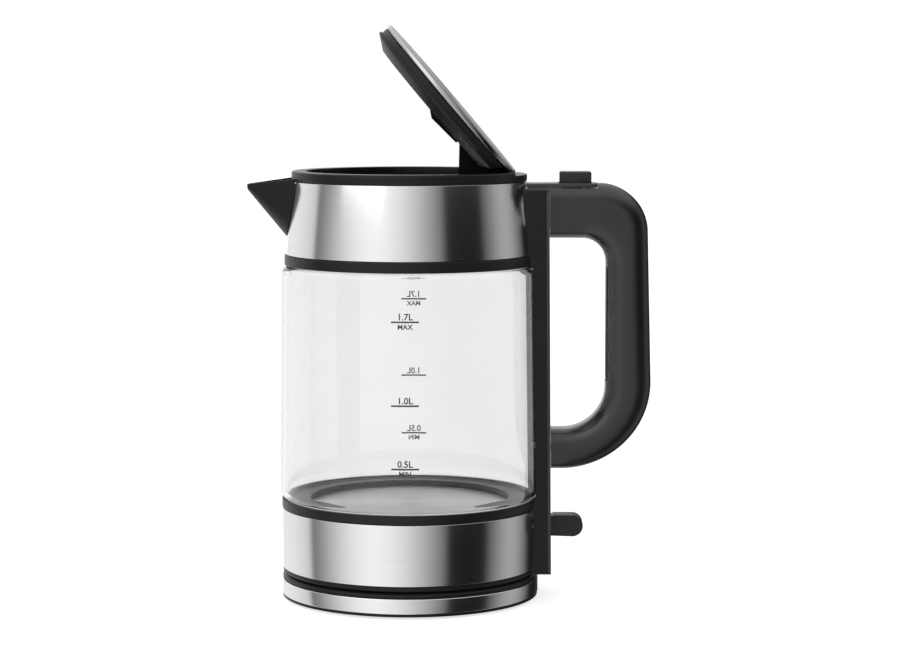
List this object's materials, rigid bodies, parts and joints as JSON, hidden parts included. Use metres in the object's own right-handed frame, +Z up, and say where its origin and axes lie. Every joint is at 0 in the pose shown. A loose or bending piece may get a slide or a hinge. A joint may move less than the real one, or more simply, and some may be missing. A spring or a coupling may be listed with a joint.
{
  "type": "electric kettle",
  "caption": "Cordless glass electric kettle with steel bands, hinged lid held open, D-shaped handle, lid release button, rocker switch and round power base.",
  "frame": {"origin": "on the jug axis, at the plane of the feet", "axes": "+Z up along the jug axis, spout towards -X, handle towards +X"},
  "size_m": [0.2246, 0.146, 0.3197],
  "materials": {
    "brushed_steel": "brushed round the jug, satin",
    "black_plastic": "satin moulded black plastic",
    "clear_glass": "clear borosilicate glass with dark grey level marks",
    "silicone": "matte grey silicone rubber",
    "brass": "bare brass",
    "aluminium": "cast aluminium",
    "cream_plastic": "heat-proof moulding",
    "screw_steel": "plated steel"
  },
  "bodies": {
    "power_base": {"base_bottom_cover": "black_plastic", "base_connector": "black_plastic", "base_contact_earth": "brass", "base_contact_inner": "brass", "base_contact_outer": "brass", "base_rear_block": "black_plastic", "base_screw_1": "screw_steel", "base_screw_2": "screw_steel", "base_screw_3": "screw_steel", "base_steel_band": "brushed_steel", "base_top_cover": "black_plastic", "foot_1": "silicone", "foot_2": "silicone", "foot_3": "silicone", "foot_4": "silicone"},
    "jug": {"bimetal_disc": "brass", "button_spring": "screw_steel", "control_unit": "cream_plastic", "glass_body": "clear_glass", "handle_grip_cover": "black_plastic", "handle_loop": "black_plastic", "handle_screw_lower": "screw_steel", "handle_top_cap": "black_plastic", "heat_spreader": "aluminium", "heating_element": "screw_steel", "heating_plate": "brushed_steel", "hinge_pin": "screw_steel", "jug_bottom_cover": "black_plastic", "jug_centre_pin": "brass", "jug_connector": "black_plastic", "jug_ring_contact": "brass", "jug_screw_1": "screw_steel", "jug_screw_2": "screw_steel", "jug_screw_3": "screw_steel", "latch_spring": "screw_steel", "lever_pin": "screw_steel", "lid_spring": "screw_steel", "lower_glass_seal": "silicone", "lower_ring": "black_plastic", "lower_steel_band": "brushed_steel", "spine_housing": "black_plastic", "spout": "black_plastic", "spout_filter": "brushed_steel", "steam_tube": "silicone", "top_rim": "black_plastic", "upper_glass_seal": "silicone", "upper_ring": "black_plastic", "upper_steel_collar": "brushed_steel"},
    "lid": {"lid_backing": "cream_plastic", "lid_body": "black_plastic", "lid_hinge_block": "black_plastic", "lid_inner_cover": "black_plastic", "lid_seal": "silicone", "lid_top_plate": "brushed_steel"},
    "button": {"lid_button": "black_plastic"},
    "bolt": {"latch_bolt": "screw_steel"},
    "lever": {"switch_lever": "black_plastic"}
  },
  "joints": [
    {"name": "jug_lift", "type": "slide", "parent": "power_base", "child": "jug", "axis": [0, 0, 1], "range_m": [0, 0.08]},
    {"name": "lid_hinge", "type": "hinge", "parent": "jug", "child": "lid", "pos_m": [0.0534, 0, 0.2305], "axis": [0, 1, 0], "range_deg": [-49.5, 0], "stiffness_Nm_per_rad": 0.1, "springref_deg": 40.11},
    {"name": "button_press", "type": "slide", "parent": "jug", "child": "button", "axis": [0, 0, -1], "range_m": [0, 0.0035], "stiffness_N_per_m": 300, "springref_m": -0.005, "deforming": ["button_spring"]},
    {"name": "latch_slide", "type": "slide", "parent": "jug", "child": "bolt", "axis": [1, 0, 0], "range_m": [0, 0.00261], "stiffness_N_per_m": 200, "springref_m": -0.004, "deforming": ["latch_spring"]},
    {"name": "switch_rock", "type": "hinge", "parent": "jug", "child": "lever", "pos_m": [0.075, 0, 0.04], "axis": [0, 1, 0], "range_deg": [0, 12], "stiffness_Nm_per_rad": 0.05, "springref_deg": -17.19}
  ],
  "couplings": [
    {"joint": "latch_slide", "follows": "button_press", "ratio": 0.74286}
  ]
}
